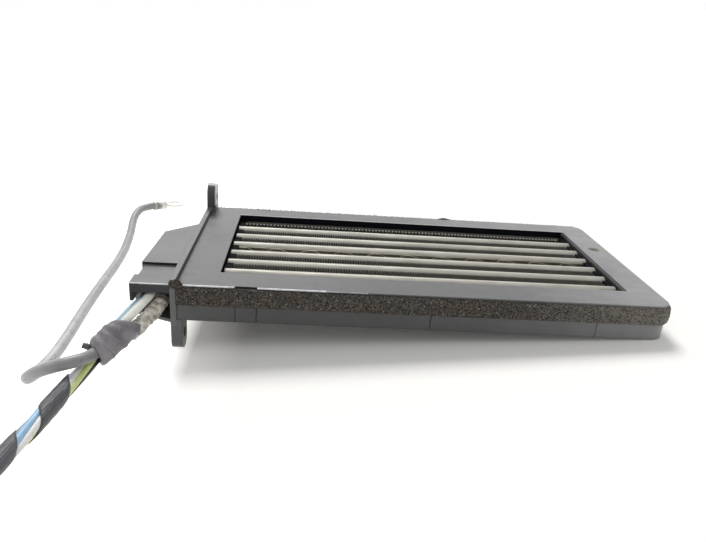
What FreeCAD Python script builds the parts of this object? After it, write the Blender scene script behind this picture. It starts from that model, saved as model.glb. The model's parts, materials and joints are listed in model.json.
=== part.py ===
import FreeCAD, Part
import math
import os

# Electric cabin heater core, in millimetres. X runs along the core from its flange to its
# free end, Y across it from the side with the wires to the far side, Z out of its face.
# The origin is the middle of the flange's seating face. Each section below makes the
# pieces of one group, and save() writes each piece to its own file.

Vec = FreeCAD.Vector

# Core: rods with fins between them, and a wave spring in the middle
rod_count = 6
rod_pitch = 10.9
rod_width = 5.0
rod_height = 9.4
rod_length = 165.8
rod_inset = 0.4
fin_pitch = 2.2
fin_thick = 0.16
fin_height = 7.6
fin_clear = 0.05
wave_pitch = 15.1
wave_thick = 0.4
wave_height = 6.6
wave_tab_gap = 0.2
wave_tab_length = 1.8
backing_thick = 0.5
rail_thick = 2.2
rail_tuck = 0.35
finger_length = 2.6
finger_short = 1.0
holder_gap = 0.1
holder_over = 0.2
holder_clear = 0.2

# Heating stones and contact strips inside the rods
stone_count = 5
stone_gap = 7.4
stone_thick = 1.6
stone_height = 6.0
stone_clear = 0.1
rod_floor = 1.3
carrier_thick = 0.8
carrier_height = 1.0
carrier_short = 2.0
contact_thick = 0.5
contact_height = 5.6
contact_left = 9.0
contact_out = 0.4

# Frame: the bars round the window and the shells they are made of
bar_left = 14.7
bar_right = 12.7
bar_near = 14.0
bar_far = 11.0
corner_radius = 5.5
plate_thick = 2.6
wall_thick = 2.2
window_lip = 1.4
lip_height = 3.1
rib_count = 5
rib_thick = 1.4
rib_first = 12.0
rib_last = 18.0
clip_start = 22.0
clip_length = 8.0
clip_depth = 1.0
groove_width = 0.5
groove_depth = 0.5
groove_first = 29.8
groove_last = 30.0

# Screw that closes the two shells at the free end
screw_y = 14.2
screw_head_radius = 2.4
screw_head_height = 0.5
screw_radius = 1.1
screw_length = 9.5
screw_clear = 0.2
drive_length = 2.8
drive_width = 0.6
drive_depth = 0.3
boss_radius = 3.2
boss_clear = 0.5

# Foam strip round three sides of the frame
foam_edge = 0.8
foam_height = 7.3
foam_seat = 0.8
foam_proud = 1.2
foam_start = 0.0

# Flange with its two ears
flange_thick = 2.2
flange_height = 18.8
flange_overhang = 0.5
ear_width = 9.2
ear_inset = 0.25
ear_reach = 20.8
ear_hole_radius = 2.2
ear_hole_height = 14.2
ear_back = 2.1

# Head that holds the terminals, with its notch and step measured from the near side
head_wall = 1.3
head_drop = 0.2
head_step = 1.3
head_step_inset = 1.7
head_step_from = 18.0
head_chamfer = 13.0
head_shoulder = 0.5
notch_from = 8.2
notch_deep = 1.5
outlet_drop = 3.7

# Bus bars, terminal block and lugs
bus_thick = 0.8
bus_width = 2.0
bus_back = (10.0, 7.1, 3.5)
bus_room = 0.8
bus_gap = 0.45
bus_reach = 1.0
riser_thick = 0.8
stub_width = 4.0
link_gap = 1.0
link_width = 3.0
tab_width = 5.0
middle_tab_shift = -4.55
near_tab_shift = 2.25
slot_clear = 0.4
strip_end_from = 17.0
block_thick = 3.6
block_gap = 0.2
block_short = 0.5
block_back = 2.0
foot_inset = 3.0
foot_width = 4.0
lug_length = 6.0
lug_wall = 0.3
lug_end = 1.0
wire_straight = 10.0

# Wires, bundle and ground lead with what is on their ends
blue_diameter = 2.8
cream_diameter = 3.2
sleeved_diameter = 4.4
bundle_diameter = 5.6
lead_diameter = 4.4
tape_top_radius = 5.9
tape_end_radius = 5.5
plug_length = 20.0
plug_width = 22.0
plug_height = 12.4
plug_wall = 1.5
plug_back = 8.0
collar_length = 3.0
collar_wall = 1.2
latch_width = 5.0
latch_height = 0.8
latch_inset = 2.0
pin_width = 2.8
pin_thick = 0.8
pin_pitch = 4.0
pin_length = 6.0
pin_base = 1.0
pin_base_height = 4.0
ring_hole_radius = 3.2
ring_outer_radius = 5.8
ring_thick = 1.0
ring_neck_width = 4.4
barrel_length = 6.5
barrel_radius = 2.7
barrel_grip = 1.5

# Places worked out from the sizes
holder_half = fin_height / 2 + holder_over
half_height = holder_half + holder_clear + lip_height
rod_half = rod_width / 2
fin_width = rod_pitch - rod_width
core_half = rod_pitch * (rod_count - 1) / 2 + rod_half + fin_width
window_half = core_half + rail_thick - rail_tuck
frame_length = bar_left + 2 * rod_inset + rod_length + bar_right
frame_width = 2 * window_half + bar_near + bar_far
half_width = frame_width / 2
core_y = (bar_near - bar_far) / 2
window_near = core_y - window_half
window_far = core_y + window_half
window_right = frame_length - bar_right
rod_y = [core_y + rod_pitch * (i - (rod_count - 1) / 2) for i in range(rod_count)]
rod_start = bar_left + rod_inset
rod_end = rod_start + rod_length
fin_start = rod_start + finger_length
fin_end = rod_end - finger_length
rail_near = core_y - core_half - rail_thick
rail_far = core_y + core_half
foam_top = half_height - foam_edge
foam_bottom = foam_top - foam_height

# Inside of a rod, from its near side: stones first, then the contact strip
cavity_half = (stone_thick + contact_thick) / 2 + stone_clear
stone_offset = stone_clear - cavity_half
contact_offset = stone_offset + stone_thick

# The bus bars serve the rods in pairs from the far side, and each riser starts here
riser_low = [min(rod_y[-2 - 2 * i], rod_y[-1 - 2 * i]) + contact_offset - bus_reach
             for i in range(rod_count // 2)]
tab_y = [
    riser_low[1] + stub_width + bus_gap + tab_width / 2,
    riser_low[1] + middle_tab_shift,
    riser_low[2] + near_tab_shift,
]
flange_left = -flange_thick
bus_x = [flange_left - back for back in bus_back]
head_left = bus_x[0] - bus_width / 2 - bus_room - head_wall - head_step_inset
head_far = tab_y[0] + tab_width / 2 + head_chamfer
head_bottom = head_drop - flange_height / 2
head_step_y = head_step_from - half_width
strip_end = strip_end_from - half_width
link_x = wall_thick + link_gap

# The core lies on the tip of its near ear and the lower edge of its free end, and the
# wires lie on that same sloping surface or above it
lay_slope = (ear_reach - half_height) / frame_length

# The wires leave their lugs along Y and turn at wire_turn. All the routes are written with
# Y counted from there, so that they go with the head when the core gets wider.
wire_start = strip_end - lug_end
wire_turn = wire_start - wire_straight


def beside(points):
    """Points of a route, moved from the wires' turn to their place beside the head."""
    return [(x, y + wire_turn, z) for x, y, z in points]


# Routes of the wires, from their lugs to the tape
blue_route = beside([
    (bus_x[0], wire_straight, -0.6), (bus_x[0], 0.0, -0.6), (-13.6, -6.0, -0.2),
    (-16.6, -11.7, -2.2), (-20.6, -16.9, -6.4),
])
cream_route = beside([
    (bus_x[1], wire_straight, 1.7), (bus_x[1], 0.0, 1.7), (-10.4, -6.2, 1.3),
    (-13.2, -12.4, -0.6), (-17.7, -18.5, -4.9),
])
sleeved_route = beside([
    (bus_x[2], wire_straight, -1.0), (bus_x[2], 0.0, -1.0), (-7.4, -5.8, -2.0),
    (-10.8, -11.3, -4.8), (-15.8, -16.6, -8.8),
])

# Tape that gathers the wires, then the bundle to the plug and the lead to the ring
tape_start, tape_end = beside([(-16.2, -15.2, -5.7), (-24.1, -25.6, -11.8)])
bundle_route = beside([
    (-21.2, -19.4, -10.9), (-24.3, -24.3, -13.1), (-26.6, -31.5, -14.7),
    (-29.2, -42.8, -16.0), (-32.1, -60.8, -16.6), (-34.4, -77.7, -16.6),
    (-39.2, -92.2, -17.0), (-48.2, -102.3, -17.6), (-61.0, -107.0, -18.66),
    (-74.5, -107.0, -19.6),
])
lead_route = beside([
    (-21.9, -26.4, -8.3), (-23.5, -29.6, -10.4), (-26.5, -34.4, -9.3),
    (-32.3, -37.9, -10.6), (-39.8, -37.6, -14.0), (-45.2, -34.7, -17.8),
    (-46.9, -26.8, -20.6), (-45.0, -16.0, -21.4), (-43.6, 3.0, -21.4),
    (-46.9, 42.0, -21.5), (-49.6, 90.0, -21.5), (-54.0, 124.0, -21.3),
    (-58.3, 145.0, -20.0), (-58.6, 158.0, -18.6), (-54.4, 167.2, -17.8),
    (-47.8, 171.4, -17.8),
])


def box(x0, x1, y0, y1, z0, z1):
    return Part.makeBox(x1 - x0, y1 - y0, z1 - z0, Vec(x0, y0, z0))


def cylinder(radius, length, start, direction):
    return Part.makeCylinder(radius, length, Vec(*start), Vec(*direction))


def join(shapes):
    whole = shapes[0]
    for shape in shapes[1:]:
        whole = whole.fuse(shape)
    return whole.removeSplitter()


def prism(points, z, height):
    """Upright prism over a plan given as points (x, y)."""
    corners = [Vec(x, y, z) for x, y in points]
    return Part.Face(Part.makePolygon(corners + corners[:1])).extrude(Vec(0, 0, height))


def free_end_plan(grow, x0, z, height):
    """Prism over the frame's plan, grown outwards, with its corners rounded at the free end."""
    y0 = -half_width - grow
    y1 = half_width + grow
    x1 = frame_length + grow
    r = corner_radius + grow
    k = r * math.sqrt(0.5)
    near = Part.Arc(Vec(x1 - r, y0, z), Vec(x1 - r + k, y0 + r - k, z), Vec(x1, y0 + r, z))
    far = Part.Arc(Vec(x1, y1 - r, z), Vec(x1 - r + k, y1 - r + k, z), Vec(x1 - r, y1, z))
    edges = [
        Part.makeLine(Vec(x0, y0, z), Vec(x1 - r, y0, z)),
        near.toShape(),
        Part.makeLine(Vec(x1, y0 + r, z), Vec(x1, y1 - r, z)),
        far.toShape(),
        Part.makeLine(Vec(x1 - r, y1, z), Vec(x0, y1, z)),
        Part.makeLine(Vec(x0, y1, z), Vec(x0, y0, z)),
    ]
    return Part.Face(Part.Wire(edges)).extrude(Vec(0, 0, height))


def save(name, shape):
    shape.exportStep("parts/" + name + ".step")


os.makedirs("parts", exist_ok=True)


# Frame: two shells that meet in the middle of the height

def frame_shell():
    """Upper shell: plate with a window, outer wall, window lip and ribs."""
    shell = free_end_plan(0.0, 0.0, 0.0, half_height)
    shell = shell.cut(free_end_plan(-wall_thick, wall_thick, 0.0, half_height - plate_thick))
    lip_z = half_height - lip_height
    lip = box(bar_left - window_lip, window_right + window_lip,
              window_near - window_lip, window_far + window_lip, lip_z, half_height)
    window = box(bar_left, window_right, window_near, window_far, lip_z, half_height)
    shell = shell.fuse(lip).cut(window)
    # Ribs meet those of the other shell and keep the two long bars stiff
    rib_step = (frame_length - rib_last - rib_first) / (rib_count - 1)
    for y0, y1 in ((wall_thick - half_width, window_near - window_lip),
                   (window_far + window_lip, half_width - wall_thick)):
        for i in range(rib_count):
            x = rib_first + rib_step * i
            shell = shell.fuse(box(x - rib_thick / 2, x + rib_thick / 2, y0, y1,
                                   0.0, half_height - plate_thick))
    # Way through the end wall for the bus bars
    for y in tab_y:
        half = tab_width / 2 + slot_clear
        shell = shell.cut(box(-1.0, wall_thick + 1.0, y - half, y + half,
                              0.0, bus_thick / 2 + slot_clear))
    return shell.removeSplitter()


def foam_band(outside):
    """Band round three sides of the frame: the foam's seat, or the foam itself."""
    wide = free_end_plan(outside, foam_start, foam_bottom, foam_height)
    inner = free_end_plan(-foam_seat, foam_start - 1.0, foam_bottom, foam_height)
    return wide.cut(inner)


frame_top = frame_shell()
frame_bottom = frame_top.mirror(Vec(0, 0, 0), Vec(0, 0, 1))
seat_band = foam_band(2 * foam_proud)
frame_top = frame_top.cut(seat_band)
frame_bottom = frame_bottom.cut(seat_band)

# On both long sides the upper shell has a latch slot at its top edge, and the lower shell
# has three grooves that show as lines below the foam
for side in (-1, 1):
    latch_y = sorted((side * half_width, side * (half_width - clip_depth)))
    frame_top = frame_top.cut(box(clip_start, clip_start + clip_length, *latch_y,
                                  foam_top, half_height))
    groove_y = sorted((side * half_width, side * (half_width - groove_depth)))
    for x in (groove_first, frame_length / 2, frame_length - groove_last):
        frame_bottom = frame_bottom.cut(box(x, x + groove_width, *groove_y,
                                            -half_height, foam_bottom))

# A small screw closes the shells in the middle of the free end's bar
screw_x = frame_length - bar_right / 2
screw_seat = half_height - screw_head_height
screw_tip = screw_seat - screw_length
boss = cylinder(boss_radius, half_height, (screw_x, screw_y, 0), (0, 0, 1))
screw_hole = cylinder(screw_radius, screw_length + screw_clear,
                      (screw_x, screw_y, screw_tip - screw_clear), (0, 0, 1))
head_hole = cylinder(screw_head_radius + screw_clear, screw_head_height,
                     (screw_x, screw_y, screw_seat), (0, 0, 1))
frame_top = frame_top.fuse(boss).cut(screw_hole).cut(head_hole).removeSplitter()
boss.translate(Vec(0, 0, -half_height))
frame_bottom = frame_bottom.fuse(boss).cut(screw_hole).removeSplitter()
screw_head = cylinder(screw_head_radius, screw_head_height,
                      (screw_x, screw_y, screw_seat), (0, 0, 1))
screw_shank = cylinder(screw_radius, screw_length, (screw_x, screw_y, screw_tip), (0, 0, 1))
drive = box(screw_x - drive_length / 2, screw_x + drive_length / 2,
            screw_y - drive_width / 2, screw_y + drive_width / 2,
            half_height - drive_depth, half_height + 1.0)

save("frame_top", frame_top)
save("frame_bottom", frame_bottom)
save("frame_screw", join([screw_head, screw_shank]).cut(drive))
save("foam_seal", foam_band(foam_proud))


# Core: heating rods, stones, contact strips, fins and wave spring

def rod_tube(y):
    """Tube with round top and bottom, open at the flange end and closed at the free end."""
    h = rod_height / 2 - rod_half
    top = Part.Arc(Vec(rod_start, y + rod_half, h), Vec(rod_start, y, h + rod_half),
                   Vec(rod_start, y - rod_half, h))
    low = Part.Arc(Vec(rod_start, y - rod_half, -h), Vec(rod_start, y, -h - rod_half),
                   Vec(rod_start, y + rod_half, -h))
    outline = Part.Wire([
        top.toShape(),
        Part.makeLine(Vec(rod_start, y - rod_half, h), Vec(rod_start, y - rod_half, -h)),
        low.toShape(),
        Part.makeLine(Vec(rod_start, y + rod_half, -h), Vec(rod_start, y + rod_half, h)),
    ])
    body = Part.Face(outline).extrude(Vec(rod_length, 0, 0))
    cavity_top = stone_height / 2 + stone_clear
    return body.cut(box(rod_start, rod_end - rod_floor, y - cavity_half, y + cavity_half,
                        -cavity_top, cavity_top))


def stone_row(y):
    """Row of ceramic stones on the thin carrier that keeps them apart."""
    y0 = y + stone_offset
    step = (rod_length - rod_floor) / stone_count
    pieces = []
    for i in range(stone_count):
        x0 = rod_start + step * i + stone_gap / 2
        pieces.append(box(x0, x0 + step - stone_gap, y0, y0 + stone_thick,
                          -stone_height / 2, stone_height / 2))
    pieces.append(box(rod_start + carrier_short, rod_end - rod_floor - carrier_short,
                      y0, y0 + carrier_thick,
                      -stone_height / 2, -stone_height / 2 + carrier_height))
    return join(pieces)


def contact_strip(y):
    """Strip that feeds one rod's stones and reaches out of its open end."""
    y0 = y + contact_offset
    return box(contact_left, rod_end - rod_floor - carrier_short, y0, y0 + contact_thick,
               -contact_height / 2, contact_height / 2)


def fin_row(y0):
    """Folded strip that runs to and fro over one fin width from y0."""
    folds = 2 * int((fin_end - fin_start) / fin_pitch)
    step = (fin_end - fin_start) / folds
    # Thickness along Y of a leg that is fin_thick thick across itself
    reach = fin_thick * math.hypot(step, fin_width) / step
    low = y0 + fin_clear
    high = y0 + fin_width - fin_clear - reach
    line = [(fin_start + step * i, high if i % 2 else low) for i in range(folds + 1)]
    back = [(x, y + reach) for x, y in reversed(line)]
    return prism(line + back, -fin_height / 2, fin_height)


def wave_spring():
    """Spring band that starts flat on its backing strip and then swings to and fro."""
    low = core_y - fin_width / 2 + fin_clear
    high = backing_y - fin_clear
    mid = (low + high) / 2
    swing = (high - low - wave_thick) / 2
    tab_start = fin_start + wave_tab_gap
    crest = tab_start + wave_tab_length
    quarter = wave_pitch / 4
    radius = (quarter ** 2 + swing ** 2) / (2 * swing)
    turn = math.asin(quarter / radius) / 2
    count = int((fin_end - crest - quarter) / (2 * quarter))
    end_x = crest + quarter * (2 * count + 1)

    def line(y):
        top = Vec(crest, y + swing, 0)
        edges = [
            Part.makeLine(Vec(tab_start, y + swing, 0), top),
            Part.Arc(top, top + Vec(radius * math.sin(turn), radius * (math.cos(turn) - 1), 0),
                     Vec(crest + quarter, y, 0)).toShape(),
        ]
        for i in range(count):
            xa = crest + quarter * (2 * i + 1)
            side = 1 if i % 2 else -1
            edges.append(Part.Arc(Vec(xa, y, 0), Vec(xa + quarter, y + side * swing, 0),
                                  Vec(xa + 2 * quarter, y, 0)).toShape())
        return edges

    near = mid - wave_thick / 2
    far = mid + wave_thick / 2
    ends = [
        Part.makeLine(Vec(tab_start, near + swing, 0), Vec(tab_start, far + swing, 0)),
        Part.makeLine(Vec(end_x, near, 0), Vec(end_x, far, 0)),
    ]
    face = Part.Face(Part.Wire(Part.__sortEdges__(line(near) + line(far) + ends)))
    face.translate(Vec(0, 0, -wave_height / 2))
    return face.extrude(Vec(0, 0, wave_height))


backing_y = core_y + fin_width / 2 - fin_clear - backing_thick
for i, y in enumerate(rod_y):
    number = str(i + 1)
    save("heating_rod_" + number, rod_tube(y))
    save("stone_row_" + number, stone_row(y))
    save("contact_strip_" + number, contact_strip(y))
    # Each row of fins lies on its rod's outer side, as the spring is between the middle rods
    near_half = i < rod_count // 2
    save("fin_row_" + number, fin_row(y - rod_half - fin_width if near_half else y + rod_half))

save("wave_spring", wave_spring())
save("spring_backing", box(fin_start, fin_end, backing_y, backing_y + backing_thick,
                           -wave_height / 2, wave_height / 2))


# Side rails and end holders that frame the core

def end_holder(x0, x1, pocket_start, pocket_end):
    """Comb across the core's end, with an open pocket for each rod."""
    body = box(x0, x1, rail_near, rail_far + rail_thick, -holder_half, holder_half)
    half = rod_half + holder_gap
    for y in rod_y:
        body = body.cut(box(pocket_start, pocket_end, y - half, y + half,
                            -holder_half - 1.0, holder_half + 1.0))
    return body


holder_left_x = contact_left + contact_out
holder_right_x = screw_x - boss_radius - boss_clear
holder_left = end_holder(holder_left_x, fin_start - fin_clear,
                         rod_start - holder_gap, fin_start)
for y in rod_y:
    y0 = y + contact_offset
    slot_half = contact_height / 2 + holder_gap
    slot = box(holder_left_x - 1.0, rod_start, y0 - holder_gap,
               y0 + contact_thick + holder_gap, -slot_half, slot_half)
    holder_left = holder_left.cut(slot)
save("holder_left", holder_left)
save("holder_right", end_holder(fin_end + finger_short, holder_right_x, fin_end,
                                rod_end + holder_gap))
for name, y0 in (("rail_near", rail_near), ("rail_far", rail_far)):
    save(name, box(fin_start, fin_end + finger_short, y0, y0 + rail_thick,
                   -holder_half, holder_half))


# Flange with ears and the head's tray, then the cover that closes the head

def ear(side):
    """Ear that stands out of the flange and over the frame, up at the far side, down at the near."""
    y = side * ear_y
    tip = side * (ear_reach - ear_width / 2)
    post = box(flange_left, 0.0, y - ear_width / 2, y + ear_width / 2,
               min(0.0, tip), max(0.0, tip))
    face_z = side * half_height
    back = box(0.0, ear_back, y - ear_width / 2, y + ear_width / 2,
               min(face_z, tip), max(face_z, tip))
    round_tip = cylinder(ear_width / 2, flange_thick + ear_back, (flange_left, y, tip), (1, 0, 0))
    return join([post, back, round_tip])


def head_plan(inset, z, height):
    """Prism over the head's plan, drawn in by inset on every side but the flange."""
    left = head_left + inset
    notch_left = left + notch_deep
    step_left = left + head_step_inset
    notch_start = notch_from - half_width - inset
    shoulder_y = head_step_y + inset
    # The far corner is cut on a slant, and drawing in slides that line along Y
    rise = head_chamfer / (flange_left - head_left - head_step_inset)
    slide = inset * math.hypot(1.0, rise)
    return prism([
        (flange_left, inset - half_width), (left, inset - half_width),
        (left, notch_start), (notch_left, notch_start),
        (notch_left, shoulder_y), (left + head_shoulder, shoulder_y),
        (step_left, head_far - head_chamfer + inset * rise - slide),
        (flange_left, head_far - slide),
    ], z, height)


ear_y = half_width + ear_inset - ear_width / 2
edge_y = half_width + flange_overhang
flange = box(flange_left, 0.0, -edge_y, edge_y, -flange_height / 2, flange_height / 2)
tray = head_plan(0.0, head_bottom, -head_bottom)
tray = tray.cut(head_plan(head_wall, head_bottom + head_wall, -head_bottom))
# Under the wires the tray's near corner is cut away on a slant
cutaway = prism([
    (flange_left, -edge_y), (head_left - 1.0, -edge_y),
    (head_left - 1.0, notch_from - half_width), (flange_left, head_wall - half_width),
], head_bottom - 1.0, 2.0 - head_bottom)
housing = join([flange, ear(1), ear(-1), tray.cut(cutaway)])
for side in (-1, 1):
    housing = housing.cut(cylinder(ear_hole_radius, flange_thick + ear_back + 2.0,
                                   (flange_left - 1.0, side * ear_y, side * ear_hole_height),
                                   (1, 0, 0)))
for y in tab_y:
    half = tab_width / 2 + slot_clear
    slot_half = bus_thick / 2 + slot_clear
    housing = housing.cut(box(flange_left - 1.0, 1.0, y - half, y + half,
                              -slot_half, slot_half))
save("terminal_housing", housing)

raised = head_plan(0.0, 0.0, half_height + head_step)
raised = raised.common(box(head_left, flange_left, head_step_y, half_width,
                           0.0, half_height + head_step))
cover = head_plan(0.0, 0.0, half_height).fuse(raised)
cover = cover.cut(head_plan(head_wall, -1.0, half_height + 1.0 - head_wall))
outlet = box(head_left + head_wall, flange_left, -half_width - 1.0,
             2 * head_wall - half_width, -1.0, half_height - outlet_drop)
save("terminal_cover", cover.cut(outlet).removeSplitter())


# Bus bars, terminal block and wire lugs

def bus_bar(index):
    """Riser across two contact strips, link along the bar, tab through the flange, strip."""
    x = bus_x[index]
    y = tab_y[index]
    low = riser_low[index]
    high = low + rod_pitch + contact_thick + 2 * bus_reach
    half = bus_thick / 2
    riser_x = contact_left - riser_thick
    stub_end = low + stub_width
    return join([
        box(riser_x, contact_left, low, high, -contact_height / 2, contact_height / 2),
        box(link_x, riser_x, low, stub_end, -half, half),
        box(link_x, link_x + link_width, min(y - tab_width / 2, low),
            max(y + tab_width / 2, stub_end), -half, half),
        box(x - bus_width / 2, link_x + link_width / 2, y - tab_width / 2,
            y + tab_width / 2, -half, half),
        box(x - bus_width / 2, x + bus_width / 2, strip_end, y, -half, half),
    ])


def lug(start, diameter):
    """Crimped barrel round the start of a wire, closed at its inner end."""
    x, y, z = start
    mouth = (x, y + lug_end - lug_length, z)
    barrel = cylinder(diameter / 2 + lug_wall, lug_length, mouth, (0, 1, 0))
    return barrel.cut(cylinder(diameter / 2, lug_length - lug_end, mouth, (0, 1, 0)))


for i in range(rod_count // 2):
    save("bus_bar_" + str(i + 1), bus_bar(i))

block_left = head_left + head_step_inset + head_wall + block_gap
block_right = flange_left - block_gap
block_near = strip_end + block_short
block_far = tab_y[0] + tab_width / 2 - block_back
block_low = -bus_thick / 2 - block_thick
terminal_block = box(block_left, block_right, block_near, block_far,
                     block_low, -bus_thick / 2)
for y in (block_near + foot_inset, block_far - foot_inset):
    foot = box(block_left + foot_inset, block_right - foot_inset, y - foot_width / 2,
               y + foot_width / 2, head_bottom + head_wall, block_low)
    terminal_block = terminal_block.fuse(foot)
save("terminal_block", terminal_block.removeSplitter())
save("lug_blue", lug(blue_route[0], blue_diameter))
save("lug_cream", lug(cream_route[0], cream_diameter))
save("lug_sleeved", lug(sleeved_route[0], sleeved_diameter))


# Wires, tape, bundle with its plug, ground lead with its ring

def cord(name, route, diameter):
    """Tube along straight runs joined by tangent arcs, each as large as its runs allow."""
    points = [Vec(*p) for p in route]
    ring = Part.makeCircle(diameter / 2, points[0], points[1] - points[0])
    faces = [Part.Face(Part.Wire(ring))]
    here = points[0]
    length = 0.0
    radii = []
    for before, corner, after in zip(points, points[1:], points[2:]):
        back = before - corner
        ahead = after - corner
        run = 0.45 * min(back.Length, ahead.Length)
        back.normalize()
        ahead.normalize()
        turn = math.pi - back.getAngle(ahead)
        radius = run / math.tan(turn / 2)
        centre = corner + (back + ahead).normalize() * (radius / math.cos(turn / 2))
        straight = corner + back * run - here
        faces.append(ring.extrude(straight))
        ring = ring.translated(straight)
        axis = ahead.cross(back)
        faces.append(ring.revolve(centre, axis, math.degrees(turn)))
        ring = ring.rotated(centre, axis, math.degrees(turn))
        here = corner + ahead * run
        length += straight.Length + radius * turn
        radii.append(round(radius, 1))
    straight = points[-1] - here
    faces.append(ring.extrude(straight))
    faces.append(Part.Face(Part.Wire(ring.translated(straight))))
    shell = Part.makeShell(faces)
    shell.sewShape()
    tube = Part.Solid(shell)
    if tube.Volume < 0:
        tube.reverse()
    length += straight.Length
    wanted = math.pi * diameter ** 2 / 4 * length
    print(name, "length", round(length, 1), "radii", radii,
          "volume over wanted", round(tube.Volume / wanted, 4))
    save(name, tube)


cord("wire_blue", blue_route, blue_diameter)
cord("wire_cream", cream_route, cream_diameter)
cord("wire_sleeved", sleeved_route, sleeved_diameter)
cord("bundle", bundle_route, bundle_diameter)
cord("ground_lead", lead_route, lead_diameter)

tape_axis = Vec(*tape_end) - Vec(*tape_start)
save("tape_wrap", Part.makeCone(tape_top_radius, tape_end_radius, tape_axis.Length,
                                Vec(*tape_start), tape_axis))

# The plug is made round the X axis and then laid at the bundle's end, on the sloping surface
half_plug = plug_width / 2
plug_half_height = plug_height / 2
collar_radius = bundle_diameter / 2
body = box(0.0, plug_length, -half_plug, half_plug, -plug_half_height, plug_half_height)
mouth = box(plug_back, plug_length + 1.0, plug_wall - half_plug, half_plug - plug_wall,
            plug_wall - plug_half_height, plug_half_height - plug_wall)
collar = cylinder(collar_radius + collar_wall, collar_length, (-collar_length, 0, 0), (1, 0, 0))
collar_hole = cylinder(collar_radius, collar_length, (-collar_length, 0, 0), (1, 0, 0))
latch = box(latch_inset, plug_length - latch_inset, -latch_width / 2, latch_width / 2,
            plug_half_height, plug_half_height + latch_height)
plug = join([body.cut(mouth), collar.cut(collar_hole), latch])
pins = [box(plug_back, plug_back + pin_length, y - pin_width / 2, y + pin_width / 2,
            -pin_thick / 2, pin_thick / 2) for y in (-pin_pitch, 0.0, pin_pitch)]
pins.append(box(plug_back, plug_back + pin_base, -pin_pitch - pin_width, pin_pitch + pin_width,
                -pin_base_height / 2, pin_base_height / 2))
plug_pins = join(pins)
plug_turn = FreeCAD.Rotation(Vec(0, 0, 1), 180).multiply(
    FreeCAD.Rotation(Vec(0, 1, 0), math.degrees(math.atan(lay_slope))))
for name, shape in (("plug", plug), ("plug_pins", plug_pins)):
    shape.Placement = FreeCAD.Placement(Vec(*bundle_route[-1]), plug_turn)
    save(name, shape)

# The ring terminal is made along the X axis and then turned to follow the lead's last run
eye_x = barrel_length + ring_outer_radius
barrel = cylinder(barrel_radius, barrel_length + barrel_grip, (-barrel_grip, 0, 0), (1, 0, 0))
barrel = barrel.cut(cylinder(lead_diameter / 2, barrel_grip, (-barrel_grip, 0, 0), (1, 0, 0)))
neck = box(barrel_length / 2, eye_x, -ring_neck_width / 2, ring_neck_width / 2,
           -ring_thick / 2, ring_thick / 2)
disc = cylinder(ring_outer_radius, ring_thick, (eye_x, 0, -ring_thick / 2), (0, 0, 1))
eye = cylinder(ring_hole_radius, 2 * ring_thick, (eye_x, 0, -ring_thick), (0, 0, 1))
ring_terminal = join([barrel, neck, disc]).cut(eye)
lead_end = Vec(*lead_route[-1])
ring_turn = FreeCAD.Rotation(Vec(1, 0, 0), lead_end - Vec(*lead_route[-2]))
ring_terminal.Placement = FreeCAD.Placement(lead_end, ring_turn)
print("eye of the ring", ring_turn.multVec(Vec(eye_x, 0, 0)) + lead_end)
save("ring_terminal", ring_terminal)
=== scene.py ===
import json
import math

import bpy
import numpy as np
from mathutils import Matrix, Vector


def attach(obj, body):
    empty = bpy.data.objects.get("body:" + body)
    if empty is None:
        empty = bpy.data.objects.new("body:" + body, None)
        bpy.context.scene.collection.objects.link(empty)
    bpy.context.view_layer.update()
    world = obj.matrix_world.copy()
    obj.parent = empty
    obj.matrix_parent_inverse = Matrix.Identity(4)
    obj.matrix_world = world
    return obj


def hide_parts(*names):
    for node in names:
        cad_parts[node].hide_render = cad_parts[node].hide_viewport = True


# Electric cabin heater core: plastic frame with foam round it, aluminium rods and fins,
# terminal head with three wires, taped bundle with its plug, and the grey ground lead.
# Everything is in metres. X runs along the core, Z is up.

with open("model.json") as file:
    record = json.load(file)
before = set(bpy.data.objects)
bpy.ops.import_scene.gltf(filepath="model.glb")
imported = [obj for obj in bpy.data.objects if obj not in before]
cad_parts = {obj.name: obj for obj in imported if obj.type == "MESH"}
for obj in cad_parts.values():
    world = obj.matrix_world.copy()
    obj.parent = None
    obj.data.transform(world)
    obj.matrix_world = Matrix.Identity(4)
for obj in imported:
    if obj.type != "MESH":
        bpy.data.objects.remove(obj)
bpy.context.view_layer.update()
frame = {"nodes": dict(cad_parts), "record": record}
nodes = frame["nodes"]
scene = bpy.context.scene
scene.view_settings.view_transform = "Standard"
print("frame loaded:", len(nodes), "nodes")


# Small tools

def addPiece(name, data, material, replaced=None):
    # a mesh or curve as a piece of the root body, in place of a solid where one is named
    piece = bpy.data.objects.new(name, data)
    scene.collection.objects.link(piece)
    data.materials.append(material)
    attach(piece, "root")
    if replaced:
        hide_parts(replaced)
    return piece


def gridMesh(name, points, closeV=False, smooth=True, caps=False, flip=False):
    # points[u, v] is the surface at grid corner (u, v); neighbours make one four-sided face
    nu, nv = points.shape[:2]
    u = np.arange(nu - 1)
    v = np.arange(nv if closeV else nv - 1)
    uu, vv = np.meshgrid(u, v, indexing="ij")
    a = uu * nv + vv
    b = (uu + 1) * nv + vv
    c = (uu + 1) * nv + (vv + 1) % nv
    d = uu * nv + (vv + 1) % nv
    quads = np.stack([a, b, c, d], -1).reshape(-1, 4)
    if flip:
        quads = quads[:, ::-1]
    faces = quads.tolist()
    if caps:
        first = list(range(nv))
        last = list(range((nu - 1) * nv, nu * nv))
        faces += [first, last[::-1]] if flip else [first[::-1], last]
    mesh = bpy.data.meshes.new(name)
    mesh.from_pydata(points.reshape(-1, 3).tolist(), [], faces)
    mesh.polygons.foreach_set("use_smooth", np.full(len(mesh.polygons), smooth))
    mesh.update()
    return mesh


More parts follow.
